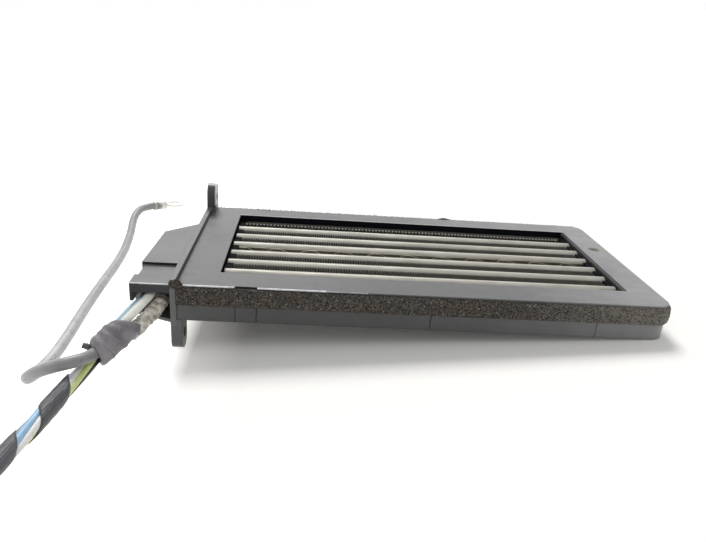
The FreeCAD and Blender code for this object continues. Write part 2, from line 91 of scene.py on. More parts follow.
def splineCurve(name, route, radius=0.0, resolution=24):
    # one open NURBS spline of order 3 with the route's points as its control points
    curve = bpy.data.curves.new(name, "CURVE")
    curve.dimensions = "3D"
    curve.resolution_u = resolution
    curve.render_resolution_u = resolution
    curve.bevel_depth = radius
    curve.bevel_resolution = 8
    curve.use_fill_caps = radius > 0
    spline = curve.splines.new("NURBS")
    spline.points.add(len(route) - 1)
    flat = np.hstack([np.array(route, float), np.ones((len(route), 1))])
    spline.points.foreach_set("co", flat.ravel())
    spline.order_u = 3
    spline.use_endpoint_u = True
    return curve


def splinePath(route, resolution=24):
    # points along the spline, read from Blender's own curve
    curve = splineCurve("guide", route, 0.0, resolution)
    guide = bpy.data.objects.new("guide", curve)
    scene.collection.objects.link(guide)
    bpy.context.view_layer.update()
    mesh = bpy.data.meshes.new_from_object(guide)
    points = np.zeros(len(mesh.vertices) * 3)
    mesh.vertices.foreach_get("co", points)
    bpy.data.objects.remove(guide)
    bpy.data.curves.remove(curve)
    bpy.data.meshes.remove(mesh)
    return points.reshape(-1, 3)


def resample(path, count):
    # the same line with its points at equal distances
    steps = np.linalg.norm(np.diff(path, axis=0), axis=1)
    along = np.concatenate([[0], np.cumsum(steps)])
    wanted = np.linspace(0, along[-1], count)
    return np.stack([np.interp(wanted, along, path[:, i]) for i in range(3)], -1), wanted


def frameAlong(path, up=(0, 0, 1)):
    # side = direction of the path x up, and rise = side x direction, both of length 1
    tangent = np.gradient(path, axis=0)
    tangent /= np.linalg.norm(tangent, axis=1, keepdims=True)
    side = np.cross(tangent, np.array(up, float))
    side /= np.linalg.norm(side, axis=1, keepdims=True)
    return side, np.cross(side, tangent)


def tubeAlong(path, around, radius):
    # point = path + radius(u, v) * (cos v * side + sin v * rise)
    side, rise = frameAlong(path)
    angle = np.arange(around) / around * 2 * math.pi
    radius = np.broadcast_to(radius, (len(path), around))
    return (path[:, None, :]
            + (radius * np.cos(angle))[..., None] * side[:, None, :]
            + (radius * np.sin(angle))[..., None] * rise[:, None, :])


def lumps(u, v, seed, count=24, low=1.0, high=6.0):
    # sum of sine waves with seeded directions and phases, about -1 to 1
    random = np.random.default_rng(seed)
    total = np.zeros(np.broadcast(u, v).shape)
    for i in range(count):
        ku, kv = random.uniform(low, high, 2) * random.choice([-1, 1], 2)
        total += np.sin(ku * u + kv * v + random.uniform(0, 2 * math.pi))
    return total / math.sqrt(count) / 1.5


# Materials

class Shade:
    # a material with its nodes made in a few calls
    def __init__(self, name):
        self.material = bpy.data.materials.new(name)
        self.material.use_nodes = True
        self.tree = self.material.node_tree
        self.tree.nodes.clear()
        self.out = self.add("ShaderNodeOutputMaterial")
        self.skin = self.add("ShaderNodeBsdfPrincipled")
        self.link(self.skin.outputs[0], self.out.inputs["Surface"])
        self.place = self.add("ShaderNodeTexCoord").outputs["Object"]
        split = self.add("ShaderNodeSeparateXYZ")
        self.link(self.place, split.inputs[0])
        self.x, self.y, self.z = split.outputs

    def add(self, kind, **values):
        node = self.tree.nodes.new(kind)
        for key, value in values.items():
            if hasattr(node, key):
                setattr(node, key, value)
            else:
                node.inputs[key.replace("_", " ")].default_value = value
        return node

    def link(self, a, b):
        self.tree.links.new(a, b)

    def feed(self, slot, value):
        # a number or a colour is set on the slot, another node's output is linked to it
        if isinstance(value, (int, float)):
            slot.default_value = (value,) * 3 + (1,) if slot.type == "RGBA" else value
        elif isinstance(value, tuple):
            slot.default_value = value + (1,)
        else:
            self.link(value, slot)

    def scaled(self, scale=(1, 1, 1), move=(0, 0, 0)):
        node = self.add("ShaderNodeMapping")
        node.inputs["Scale"].default_value = scale
        node.inputs["Location"].default_value = move
        self.link(self.place, node.inputs["Vector"])
        return node.outputs[0]

    def noise(self, scale, detail=3.0, rough=0.5, source=None):
        node = self.add("ShaderNodeTexNoise", Scale=scale, Detail=detail, Roughness=rough)
        self.link(source or self.place, node.inputs["Vector"])
        return node.outputs["Fac"]

    def cells(self, scale, random=1.0):
        node = self.add("ShaderNodeTexVoronoi", Scale=scale, Randomness=random)
        self.link(self.place, node.inputs["Vector"])
        return node.outputs["Distance"]

    def ramp(self, value, stops):
        # stops are (place, grey or colour)
        node = self.add("ShaderNodeValToRGB")
        ramp = node.color_ramp
        while len(ramp.elements) < len(stops):
            ramp.elements.new(0.5)
        for element, (at, colour) in zip(ramp.elements, stops):
            element.position = at
            grey = isinstance(colour, (int, float))
            element.color = (colour,) * 3 + (1,) if grey else tuple(colour) + (1,)
        self.link(value, node.inputs[0])
        return node.outputs[0]

    def math(self, how, *values):
        node = self.add("ShaderNodeMath", operation=how)
        for slot, value in zip(node.inputs, values):
            self.feed(slot, value)
        return node.outputs[0]

    def mix(self, amount, a, b, how="MIX"):
        node = self.add("ShaderNodeMix", data_type="RGBA", blend_type=how)
        for slot, value in ((0, amount), (6, a), (7, b)):
            self.feed(node.inputs[slot], value)
        return node.outputs[2]

    def bump(self, height, strength, distance, after=None):
        node = self.add("ShaderNodeBump", Strength=strength, Distance=distance)
        self.link(height, node.inputs["Height"])
        if after is not None:
            self.link(after, node.inputs["Normal"])
        return node.outputs[0]

    def edges(self, radius):
        # rounded normal, and a mask that is high where it leaves the true one
        node = self.add("ShaderNodeBevel", samples=6)
        node.inputs["Radius"].default_value = radius
        true = self.add("ShaderNodeNewGeometry").outputs["True Normal"]
        dot = self.add("ShaderNodeVectorMath", operation="DOT_PRODUCT")
        self.link(node.outputs[0], dot.inputs[0])
        self.link(true, dot.inputs[1])
        return node.outputs[0], self.math("SUBTRACT", 1.0, dot.outputs["Value"])

    def inside(self, low, high):
        # 1 where the object coordinate lies between two corners, 0 outside
        whole = 1.0
        for axis, least, most in zip((self.x, self.y, self.z), low, high):
            for how, limit in (("GREATER_THAN", least), ("LESS_THAN", most)):
                whole = self.math("MULTIPLY", self.math(how, axis, limit), whole)
        return whole

    def set(self, **values):
        for key, value in values.items():
            self.feed(self.skin.inputs[key.replace("_", " ")], value)


def plasticMaterial(name, look):
    # moulded plastic: fine grain, broad cloudy dust, edges lighter from wear and a painted
    # highlight;
    # a painted sheen along X and, but for the free end, painted shade on the near side; painted
    # shade and painted highlights in the listed boxes
    s = Shade(name)
    cloud = s.noise(look["cloudScale"], 4, 0.55)
    tone = s.ramp(cloud, [(0.3, look["dark"]), (0.7, look["light"])])
    streak = s.noise(60, 3, 0.6, s.scaled((1, 6, 1)))
    tone = s.mix(s.ramp(streak, [(0.5, 0), (0.75, look["dust"])]), tone, look["dustColour"])
    normal, edge = s.edges(look["edgeRadius"])
    # edges lighter: partly wear, partly a painted highlight along the edges
    wearAndSheen = s.math("MULTIPLY", s.ramp(edge, [(0.04, 0), (0.35, 1)]), look["edgeWearAndSheen"])
    wearAndSheen = s.math("MULTIPLY", wearAndSheen, s.ramp(s.noise(700, 4, 0.6), [(0.35, 0.2), (0.6, 1)]))
    tone = s.mix(wearAndSheen, tone, look["edgeWearSheenColour"])
    speck = s.ramp(s.noise(1500, 2, 0.5), [(0.66, 0), (0.74, look["speck"])])
    tone = s.mix(speck, tone, look["speckColour"])
    # painted shade: the near side is darker than the far side, but for the free end
    across = s.math("ADD", s.math("MULTIPLY", s.y, 10.0), 0.5)
    along = s.math("MULTIPLY", s.x, 5.0)
    tone = s.mix(s.ramp(along, [(0.7, 1), (0.95, 0)]), tone,
                 s.ramp(across, [(0.0, look["nearSideShade"]), (1.0, 1.0)]), "MULTIPLY")
    # painted sheen: the plastic's tone falls and rises along X
    tone = s.mix(1.0, tone, s.ramp(along, look["sheenAlongX"]), "MULTIPLY")
    # painted highlights on bright edges and lit faces, broken up by noise
    for low, high, amount in look["highlightBoxes"]:
        highlight = s.math("MULTIPLY", s.inside(low, high), s.ramp(s.noise(260, 3, 0.6), [
            (0.3, 0.5 * amount), (0.55, amount)]))
        tone = s.mix(highlight, tone, look["highlightColour"])
    gloss = look["gloss"]
    # painted shade in recesses and on faces turned from the light; there the gloss is lowered
    # too
    for low, high, amount in look["shadeBoxes"]:
        paintedShade = s.math("MULTIPLY", s.inside(low, high), amount)
        tone = s.mix(paintedShade, tone, look["shadeColour"])
        gloss = s.math("MULTIPLY", s.math("SUBTRACT", 1.0, paintedShade), gloss)
    grain = s.noise(look["grainScale"], 3, 0.6)
    normal = s.bump(grain, look["grain"], 0.00005, normal)
    normal = s.bump(s.noise(45, 2, 0.5), 0.25, 0.0004, normal)
    rough = s.ramp(s.noise(120, 3, 0.6), [(0.35, look["roughLow"]), (0.65, look["roughHigh"])])
    s.set(Base_Color=tone, Roughness=rough, Normal=normal, Specular_IOR_Level=gloss)
    return s.material


framePlastic = dict(
    cloudScale=28, dark=(0.2, 0.2, 0.204), light=(0.278, 0.277, 0.28),
    # the lighter edge colour is both wear and a painted highlight on the edges
    dust=0.3, dustColour=(0.37, 0.365, 0.35), edgeRadius=0.0006, edgeWearAndSheen=0.85,
    edgeWearSheenColour=(0.6, 0.6, 0.61), grainScale=2600, grain=0.35, speck=0.25,
    # the tone towards the near side is painted shade
    speckColour=(0.34, 0.33, 0.31), roughLow=0.36, roughHigh=0.5, gloss=0.55, nearSideShade=0.54,
    # a painted sheen that varies along X
    sheenAlongX=[(0.0, 0.5), (0.16, 0.41), (0.45, 0.48), (0.75, 0.88), (0.95, 1.0)],
    # painted shade on the window's inner walls, in the slots and in a groove
    shadeColour=(0.009, 0.01, 0.013), shadeBoxes=[
        ((0.0145, -0.0362, -0.0071), (0.1805, 0.0392, 0.0071), 1.0),
        ((0.1805, -0.0362, -0.0071), (0.1815, 0.0392, 0.0056), 0.8),
        ((0.0218, -0.0510, 0.0063), (0.0302, -0.0489, 0.0072), 0.7),
        ((0.0218, 0.0489, 0.0063), (0.0302, 0.0510, 0.0072), 0.7),
        ((0.0217, -0.0502, -0.0074), (0.0221, -0.0498, -0.0008), 0.7)],
    # painted highlights along the near top edge and the far window's edge
    highlightColour=(0.85, 0.85, 0.87), highlightBoxes=[
        ((0.0, -0.0502, 0.0069), (0.0215, -0.0494, 0.0075), 1.0),
        ((0.0302, -0.0502, 0.0069), (0.0560, -0.0494, 0.0075), 1.0),
        ((0.0560, -0.0502, 0.0070), (0.0720, -0.0497, 0.0075), 0.5),
        ((0.0147, 0.0390, 0.0071), (0.1813, 0.0396, 0.0075), 0.6)])
headPlastic = dict(
    framePlastic, dark=(0.108, 0.105, 0.109), light=(0.153, 0.149, 0.154), speck=0.2,
    dustColour=(0.19, 0.18, 0.175), roughLow=0.34, roughHigh=0.46, nearSideShade=0.92,
    sheenAlongX=[(0.0, 1.0), (1.0, 1.0)],
    # painted highlights on the head's near top edge and the far ear's right face
    highlightBoxes=[((-0.0171, -0.0502, 0.0069), (-0.0022, -0.0495, 0.0075), 1.0),
          ((0.0016, 0.0406, 0.0110), (0.0024, 0.0505, 0.0210), 1.0)],
    # painted shade on the near ear, the far ear's left face, the flange ridge's side, the
    # step's riser and the head's near face
    shadeBoxes=[((-0.0023, -0.0504, -0.0210), (0.0022, -0.0408, -0.0074), 0.1),
           ((-0.0023, 0.0400, 0.0095), (0.0015, 0.0504, 0.0205), 0.5),
           ((-0.0001, -0.0500, 0.0073), (0.0001, 0.0406, 0.0093), 0.6),
           ((-0.0172, -0.0324, 0.0074), (-0.0022, -0.0316, 0.0085), 0.8),
           ((-0.0172, -0.0503, -0.0095), (-0.0021, -0.0489, 0.0071), 0.62)])
darkPlastic = dict(
    framePlastic, dark=(0.008, 0.0085, 0.01), light=(0.013, 0.0135, 0.0155), dust=0.15,
    dustColour=(0.04, 0.038, 0.036), edgeWearAndSheen=0.25, edgeWearSheenColour=(0.1, 0.1, 0.1),
    edgeRadius=0.0003, speck=0.1, gloss=0.04, roughLow=0.7, roughHigh=0.9, nearSideShade=1.0,
    sheenAlongX=[(0.0, 1.0), (1.0, 1.0)], shadeBoxes=[], highlightBoxes=[])
plugPlastic = dict(
    darkPlastic, dark=(0.022, 0.022, 0.023), light=(0.032, 0.032, 0.033), edgeRadius=0.0006,
    gloss=0.5, roughLow=0.4, roughHigh=0.55)


def rodFlanks(s, tone, look):
    # place across a rod = fraction of (y - middle) / pitch + 2.5, so that 0.5 is its middle:
    # the flanks get painted shade in dark brown, and two fine lines run beside the middle
    turn = s.math("DIVIDE", s.math("SUBTRACT", s.y, look["middle"]), look["pitch"])
    turn = s.math("FRACT", s.math("ADD", turn, 2.5))
    out = s.math("ABSOLUTE", s.math("SUBTRACT", turn, 0.5))
    wobble = s.math("MULTIPLY", s.math("SUBTRACT", s.noise(200, 3, 0.6), 0.5), 0.05)
    flankShade = s.ramp(s.math("ADD", out, wobble), [(0.2, 0), (0.235, look["flankShade"])])
    tone = s.mix(flankShade, tone, look["flankShadeColour"])
    fine = look["fineLine"]
    lines = s.ramp(turn, [(0.40, 0), (0.415, fine), (0.43, 0),
                          (0.55, 0), (0.565, fine), (0.58, 0)])
    return s.mix(lines, tone, look["fineColour"])


def metalMaterial(name, look):
    # bare metal: drawn lines along X, dull patches of tarnish in a second colour, and a paler
    # tone in the boxes that the look names as tips, which on the fins is a painted highlight
    s = Shade(name)
    across = look["acrossScale"]
    drawn = s.noise(1.0, 4, 0.65, s.scaled((look["alongScale"], across, across)))
    patch = s.noise(look["patchScale"], 4, 0.6)
    tone = s.mix(s.ramp(patch, [(0.38, 0), (0.66, look["tarnish"])]),
                 look["colour"], look["tarnishColour"])
    tone = s.mix(s.ramp(drawn, [(0.35, 0), (0.6, look["lineDark"])]), tone, look["lineColour"])
    if "flankShade" in look:
        tone = rodFlanks(s, tone, look)
    for low, high, amount in look["tips"]:
        tone = s.mix(s.math("MULTIPLY", s.inside(low, high), amount), tone, look["tipColour"])
    rough = s.ramp(drawn, [(0.3, look["roughLow"]), (0.7, look["roughHigh"])])
    normal = s.bump(drawn, look["lineBump"], 0.00006)
    normal = s.bump(s.noise(look["dentScale"], 2, 0.5), look["dent"], 0.0003, normal)
    s.set(Base_Color=tone, Metallic=look["metallic"], Roughness=rough, Normal=normal,
          Specular_IOR_Level=look["gloss"])
    return s.material


rodMetal = dict(
    colour=(0.42, 0.41, 0.375), tarnishColour=(0.27, 0.255, 0.21), tarnish=0.5, patchScale=90,
    alongScale=60, acrossScale=2600, lineDark=0.35, lineColour=(0.27, 0.255, 0.22),
    roughLow=0.5, roughHigh=0.72, lineBump=0.6, dent=0.5, dentScale=160, metallic=0.75,
    gloss=0.5, tips=[], tipColour=(0.75, 0.74, 0.7))
rodLook = dict(
    # painted shade in dark brown on the rods' flanks
    rodMetal, middle=-0.00395, pitch=0.0109, flankShade=0.9, flankShadeColour=(0.1, 0.085, 0.058),
    fineLine=0.5, fineColour=(0.18, 0.168, 0.135))
springMetal = dict(
    rodMetal, colour=(0.3, 0.285, 0.22), tarnishColour=(0.13, 0.118, 0.065), tarnish=0.8,
    patchScale=140, roughLow=0.3, roughHigh=0.5)
finMetal = dict(
    rodMetal, colour=(0.05, 0.047, 0.032), tarnishColour=(0.012, 0.011, 0.007), tarnish=0.8,
    patchScale=420, alongScale=900, acrossScale=900, lineDark=0.3,
    lineColour=(0.03, 0.028, 0.018), roughLow=0.7, roughHigh=0.9, lineBump=0.3, dent=0.4,
    dentScale=900, metallic=0.0, gloss=0.03,
    # painted highlights: faint along the fins' top edges, full on the far row's crests
    tips=[((0.0, -0.0400, 0.0037), (0.2, 0.0300, 0.0040), 0.1),
          ((0.0, 0.0356, 0.0030), (0.2, 0.0380, 0.0040), 1.0)])
railMetal = dict(rodMetal, colour=(0.15, 0.146, 0.13), tarnishColour=(0.05, 0.05, 0.045))
screwMetal = dict(
    rodMetal, colour=(0.14, 0.115, 0.09), tarnishColour=(0.05, 0.036, 0.025), patchScale=700)
brassMetal = dict(rodMetal, colour=(0.62, 0.47, 0.22), tarnishColour=(0.3, 0.2, 0.09))
tinMetal = dict(
    rodMetal, colour=(0.5, 0.49, 0.46), tarnishColour=(0.1, 0.09, 0.07), tarnish=0.85,
    patchScale=330, alongScale=400, acrossScale=1200, dentScale=500, dent=0.8,
    tips=[((-0.0470, 0.1270, -0.0200), (-0.0280, 0.1430, -0.0150), 0.8)])
ceramicLook = dict(
    finMetal, colour=(0.17, 0.16, 0.15), tarnishColour=(0.09, 0.085, 0.08), tips=[])
foamLook = dict(
    cells=1150, crumbs=1300, deep=(0.006, 0.0055, 0.0055), skin=(0.07, 0.064, 0.06),
    tints=[(0.35, (0.22, 0.13, 0.075)), (0.5, (0.13, 0.125, 0.105)), (0.62, (0.2, 0.16, 0.1))],
    pale=(0.46, 0.45, 0.4), dust=0.55, dustColour=(0.34, 0.32, 0.285))


def foamMaterial(look):
    # open-cell foam: black cells with rust and gold crumbs, dusty towards the free end
    s = Shade("foamBlackRust")
    cell = s.cells(look["cells"])
    tone = s.ramp(cell, [(0.15, look["deep"]), (0.6, look["skin"])])
    warm = s.ramp(s.noise(look["crumbs"], 3, 0.75), [(0.5, 0), (0.63, 0.85)])
    tone = s.mix(warm, tone, s.ramp(s.noise(75, 3, 0.6), look["tints"]))
    speck = s.noise(1600, 3, 0.6, s.scaled(move=(0.3, 0.1, 0.2)))
    tone = s.mix(s.ramp(speck, [(0.6, 0), (0.68, 0.8)]), tone, look["pale"])
    dusty = s.ramp(s.math("MULTIPLY", s.x, 5.0), [(0.65, 0), (0.98, look["dust"])])
    tone = s.mix(s.math("MULTIPLY", dusty, s.ramp(cell, [(0.2, 0.15), (0.6, 1)])), tone,
                 look["dustColour"])
    normal = s.bump(cell, 1.0, 0.0005)
    normal = s.bump(s.noise(900, 3, 0.7), 0.8, 0.0004, normal)
    s.set(Base_Color=tone, Roughness=0.95, Normal=normal, Specular_IOR_Level=0.25)
    return s.material


def sheathMaterial(name, colour, deep, rough=0.42, scuff=0.35, grit=0.3, gloss=0.5, fade=None):
    # soft wire sheath: slow colour drift, scuffs and a fine orange-peel skin; fade is a ramp
    # over X * 10 + 1 that dims it along the way
    s = Shade(name)
    tone = s.mix(s.ramp(s.noise(120, 4, 0.6), [(0.35, 0), (0.65, 1)]), colour, deep)
    mark = s.ramp(s.noise(620, 4, 0.7), [(0.56, 0), (0.7, scuff)])
    tone = s.mix(mark, tone, tuple(0.45 * c for c in colour))
    if fade:
        place = s.math("ADD", s.math("MULTIPLY", s.x, 10.0), 1.0)
        tone = s.mix(1.0, tone, s.ramp(place, fade), "MULTIPLY")
    spread = s.ramp(s.noise(300, 3, 0.6), [(0.3, rough - 0.08), (0.7, rough + 0.12)])
    normal = s.bump(s.noise(1400, 3, 0.6), grit, 0.00008)
    s.set(Base_Color=tone, Roughness=spread, Normal=normal, Specular_IOR_Level=gloss)
    return s.material


def tapeMaterial(name, dark, light):
    # cloth tape: cloudy tone, a fine weave of small even cells, and a crumpled surface
    s = Shade(name)
    tone = s.ramp(s.noise(160, 4, 0.6), [(0.36, dark), (0.64, light)])
    weave = s.cells(2300, 0.35)
    tone = s.mix(s.ramp(weave, [(0.2, 0), (0.7, 0.35)]), tone, tuple(0.4 * c for c in dark))
    normal = s.bump(weave, 0.4, 0.0001)
    normal = s.bump(s.noise(260, 4, 0.6), 0.5, 0.0005, normal)
    s.set(Base_Color=tone, Roughness=0.5, Normal=normal, Specular_IOR_Level=0.45)
    return s.material


def sleeveMaterial():
    # clear wrinkled sleeve over a pale wire, read as milky plastic with painted shade in its
    # dark creases
    s = Shade("sleeveClear")
    crease = s.noise(420, 4, 0.7)
    tone = s.ramp(crease, [(0.34, (0.24, 0.2, 0.15)), (0.5, (0.52, 0.48, 0.4)),
                           (0.66, (0.76, 0.73, 0.66))])
    normal = s.bump(crease, 0.9, 0.0008)
    s.set(Base_Color=tone, Roughness=0.2, Normal=normal, Specular_IOR_Level=0.7,
          Coat_Weight=0.8, Coat_Roughness=0.08)
    return s.material


finish = {
    "frame_plastic": plasticMaterial("framePlasticGrey", framePlastic),
    "housing_plastic": plasticMaterial("headPlasticGrey", headPlastic),
    "dark_plastic": plasticMaterial("holderPlasticBlack", darkPlastic),
    "rod_metal": metalMaterial("rodAluminium", rodLook),
    "fin_metal": metalMaterial("finAluminiumDull", finMetal),
    "spring_steel": metalMaterial("springSteel", springMetal),
    "ceramic": metalMaterial("stoneCeramic", ceramicLook),
    "contact_metal": metalMaterial("contactBrass", brassMetal),
    "tinned_metal": metalMaterial("tinnedCopper", tinMetal),
    "foam": foamMaterial(foamLook),
    "dark_tape": tapeMaterial("tapeCharcoal", (0.185, 0.177, 0.19), (0.33, 0.315, 0.335)),
    "blue_wire": sheathMaterial("sheathPaleBlue", (0.55, 0.71, 0.8), (0.45, 0.64, 0.74)),
    "cream_wire": sheathMaterial("sheathCream", (0.98, 0.97, 0.92), (0.92, 0.905, 0.82)),
    "clear_sleeve": sleeveMaterial(),
    "grey_lead": sheathMaterial(
        "sheathGrey", (0.6, 0.6, 0.605), (0.47, 0.47, 0.475), rough=0.4, scuff=0.7,
        fade=[(0.43, 0.5), (0.5, 0.62), (0.54, 0.8), (0.56, 1.0), (0.62, 0.8), (0.68, 0.55),
              (0.78, 0.42)]),
}
railFinish = metalMaterial("railAluminiumDull", railMetal)
bandFinish = tapeMaterial("tapeSlate", (0.06, 0.061, 0.07), (0.105, 0.106, 0.118))
ownFinish = {
    "plug": plasticMaterial("plugPlasticBlack", plugPlastic),
    "rail_near": railFinish,
    "rail_far": railFinish,
    "frame_screw": metalMaterial("screwBrown", screwMetal),
}
for entry in frame["record"]["subparts"]:
    chosen = ownFinish.get(entry["node"], finish[entry["material_slot"]])
    nodes[entry["node"]].material_slots[0].material = chosen
print("materials ready:", len(bpy.data.materials))


# Camera, floor and light

view = dict(
    place=(0.0465, -0.2711, 0.1065), right=(0.9957, -0.0555, 0.0744),
    up=(-0.0477, 0.3812, 0.9233), ahead=(0.0796, 0.9228, -0.3769), lens=32.634)
cameraData = bpy.data.cameras.new("camera")
cameraData.lens = view["lens"]
cameraData.sensor_width = 36
camera = bpy.data.objects.new("camera", cameraData)
scene.collection.objects.link(camera)
turn = Matrix((view["right"], view["up"], tuple(-a for a in view["ahead"]))).transposed()
camera.matrix_world = Matrix.Translation(view["place"]) @ turn.to_4x4()
scene.camera = camera

# The core stands on its near ear and its free end, so the floor slopes under it
floor = dict(
    rise=0.0696, level=-0.0208, half=30.0, colour=(1.0, 0.985, 0.955), glowStrength=1.8,
    glowColour=(1.0, 0.98, 0.95), glow=[(0.42, 0.7), (0.62, 0.12), (1.0, 0.02)])


def floorMesh():
    # z = level + rise * x
    line = np.linspace(-floor["half"], floor["half"], 41)
    x, y = np.meshgrid(line, line, indexing="ij")
    return gridMesh("floor", np.stack([x, y, floor["level"] + floor["rise"] * x], -1))


def floorMaterial():
    # white card: where it is seen it glows by the glow ramp over X * 20 + 0.5, a little under
    # the core and so much left of the flange that only the darkest shadows show
    s = Shade("floorWhite")
    s.set(Base_Color=floor["colour"], Roughness=0.9, Specular_IOR_Level=0.1)
    path = s.add("ShaderNodeLightPath").outputs
    seen = s.math("MAXIMUM", s.math("MAXIMUM", path["Is Camera Ray"], path["Is Glossy Ray"]),
                  path["Is Transmission Ray"])
    place = s.math("ADD", s.math("MULTIPLY", s.x, 20.0), 0.5)
    glow = s.add("ShaderNodeEmission", Strength=floor["glowStrength"])
    glow.inputs["Color"].default_value = floor["glowColour"] + (1,)
    both = s.add("ShaderNodeMixShader")
    s.link(s.math("MULTIPLY", seen, s.ramp(place, floor["glow"])), both.inputs[0])
    s.link(s.skin.outputs[0], both.inputs[1])
    s.link(glow.outputs[0], both.inputs[2])
    s.link(both.outputs[0], s.out.inputs["Surface"])
    return s.material


floorPiece = bpy.data.objects.new("floor", floorMesh())
scene.collection.objects.link(floorPiece)
floorPiece.data.materials.append(floorMaterial())

light = dict(sky=0.45, skyColour=(0.97, 0.985, 1.0), suns=[
    ("key", 2.1, 24.0, (-0.12, 0.62, 0.775)), ("fill", 0.25, 50.0, (0.0, -0.3, 0.95))])


def skyWorld():
    # the sky's own even light, and plain white where it is seen or mirrored
    world = bpy.data.worlds.new("sky")
    world.use_nodes = True
    tree = world.node_tree
    tree.nodes.clear()
    path = tree.nodes.new("ShaderNodeLightPath").outputs
    seen = path["Is Camera Ray"]
    for kind in ("Is Glossy Ray", "Is Transmission Ray"):
        either = tree.nodes.new("ShaderNodeMath")
        either.operation = "MAXIMUM"
        tree.links.new(seen, either.inputs[0])
        tree.links.new(path[kind], either.inputs[1])
        seen = either.outputs[0]
    mix = tree.nodes.new("ShaderNodeMixShader")
    tree.links.new(seen, mix.inputs[0])
    skies = ((light["skyColour"], light["sky"]), ((1.0, 1.0, 1.0), 1.0))
    for slot, (colour, strength) in enumerate(skies, 1):
        sky = tree.nodes.new("ShaderNodeBackground")
        sky.inputs["Color"].default_value = colour + (1,)
        sky.inputs["Strength"].default_value = strength
        tree.links.new(sky.outputs[0], mix.inputs[slot])
    out = tree.nodes.new("ShaderNodeOutputWorld")
    tree.links.new(mix.outputs[0], out.inputs["Surface"])
    return world


scene.world = skyWorld()
for label, energy, angle, source in light["suns"]:
    sunData = bpy.data.lights.new(label, "SUN")
    sunData.energy = energy
    sunData.angle = math.radians(angle)
    sun = bpy.data.objects.new(label, sunData)
    scene.collection.objects.link(sun)
    sun.rotation_mode = "QUATERNION"
    sun.rotation_quaternion = Vector(source).to_track_quat("Z", "Y")
print("camera, floor and light ready")


# Fin rows: folded bands with upright legs between the rods

fins = dict(
    left=0.0177, right=0.1783, wide=0.0059, clear=0.00025, thick=0.00017, height=0.0076,
    square=2.2, perFold=12, pitch=0.0011, farPitch=0.0017, uneven=0.00006,
    rows=[-0.03415, -0.02325, -0.01235, 0.00945, 0.02035, 0.03125])


def finRow(number, low):
    # y = middle + reach * tanh(square * sin(2 pi x / pitch)) / tanh(square), made a closed
    # band by moving it half its thickness to both sides and carrying it up the height
    name = "fin_band_" + str(number)
    span = fins["right"] - fins["left"]
    far = number == len(fins["rows"])
    folds = int(span / fins["farPitch" if far else "pitch"])
    x = np.linspace(fins["left"], fins["right"], folds * fins["perFold"] + 1)
    phase = (x - fins["left"]) / span * folds * 2 * math.pi
    reach = (fins["wide"] / 2 - fins["clear"]) / math.tanh(fins["square"])
    y = low + fins["wide"] / 2 + reach * np.tanh(fins["square"] * np.sin(phase))
    slope = np.stack([np.gradient(x), np.gradient(y)], -1)
    slope /= np.linalg.norm(slope, axis=1, keepdims=True)
    out = np.stack([-slope[:, 1], slope[:, 0]], -1) * fins["thick"] / 2
    line = np.stack([x, y], -1)
    base = np.full_like(x, -fins["height"] / 2)
    top = fins["height"] / 2 + fins["uneven"] * lumps(x * 2600, number, 31 + number)
    band = [np.column_stack([line + edge, z])
            for edge, z in ((out, base), (out, top), (-out, top), (-out, base))]
    mesh = gridMesh(name, np.stack(band, 1), closeV=True, smooth=False, caps=True)
    addPiece(name, mesh, finish["fin_metal"], "fin_row_" + str(number))


for i, low in enumerate(fins["rows"]):
    finRow(i + 1, low)
print("fin rows ready")


# Wires, bundle and ground lead

wires = dict(
    blue=dict(node="wire_blue", slot="blue_wire", radius=0.0014, length=0.0305, route=[
        (-0.0122, -0.0340, -0.0006), (-0.0122, -0.0440, -0.0006), (-0.0136, -0.0500, -0.0002),
        (-0.0166, -0.0557, -0.0022), (-0.0206, -0.0609, -0.0064)]),
    cream=dict(node="wire_cream", slot="cream_wire", radius=0.0016, length=0.0320, route=[
        (-0.0093, -0.0340, 0.0017), (-0.0093, -0.0440, 0.0017), (-0.0104, -0.0502, 0.0013),
        (-0.0132, -0.0564, -0.0006), (-0.0177, -0.0625, -0.0049)]),
)
for label, wire in wires.items():
    name = "wire_" + label + "_skin"
    skin = splineCurve(name, wire["route"], wire["radius"])
    piece = addPiece(name, skin, finish[wire["slot"]], wire["node"])

sleeved = dict(
    diameter=0.0044, inLug=0.0021, radius=0.0026, flare=0.17, wrinkle=0.0004, length=0.0314,
    freeFrom=5.5, freeOver=3.0, along=200, around=64, route=[
        (-0.0057, -0.0340, -0.0010), (-0.0057, -0.0440, -0.0010), (-0.0067, -0.0498, -0.0020),
        (-0.0098, -0.0553, -0.0048), (-0.0149, -0.0606, -0.0088)])


def sleevedWire():
    # u is the way in mm and v the angle: radius * (1 + flare * share of the way) + wrinkle *
    # (long soft folds + sharp cross creases), which is inLug up to freeFrom mm and comes in
    # softly over the next freeOver mm
    path, s = resample(splinePath(sleeved["route"]), sleeved["along"])
    v = np.arange(sleeved["around"]) / sleeved["around"] * 2 * math.pi
    u, vv = np.meshgrid(s * 1000, v, indexing="ij")
    fold = np.sin(2 * vv + 0.9 * u + 1.3 * np.sin(0.6 * u)) * np.sin(1.7 * u + np.cos(vv) * 2)
    crease = -np.abs(np.sin(0.85 * u + 1.5 * np.sin(vv + 0.5 * u) + 0.8)) ** 0.5
    free = np.clip((u - sleeved["freeFrom"]) / sleeved["freeOver"], 0, 1)
    radius = sleeved["radius"] * (1 + sleeved["flare"] * u / u[-1, 0])
    radius = radius + sleeved["wrinkle"] * (0.6 * fold + 0.9 * (crease + 0.6))
    radius = sleeved["inLug"] + (radius - sleeved["inLug"]) * free ** 2 * (3 - 2 * free)
    mesh = gridMesh("wire_sleeved_skin", tubeAlong(path, sleeved["around"], radius),
                    closeV=True, caps=True)
    piece = addPiece("wire_sleeved_skin", mesh, finish["clear_sleeve"],
                     "wire_sleeved")


sleevedWire()

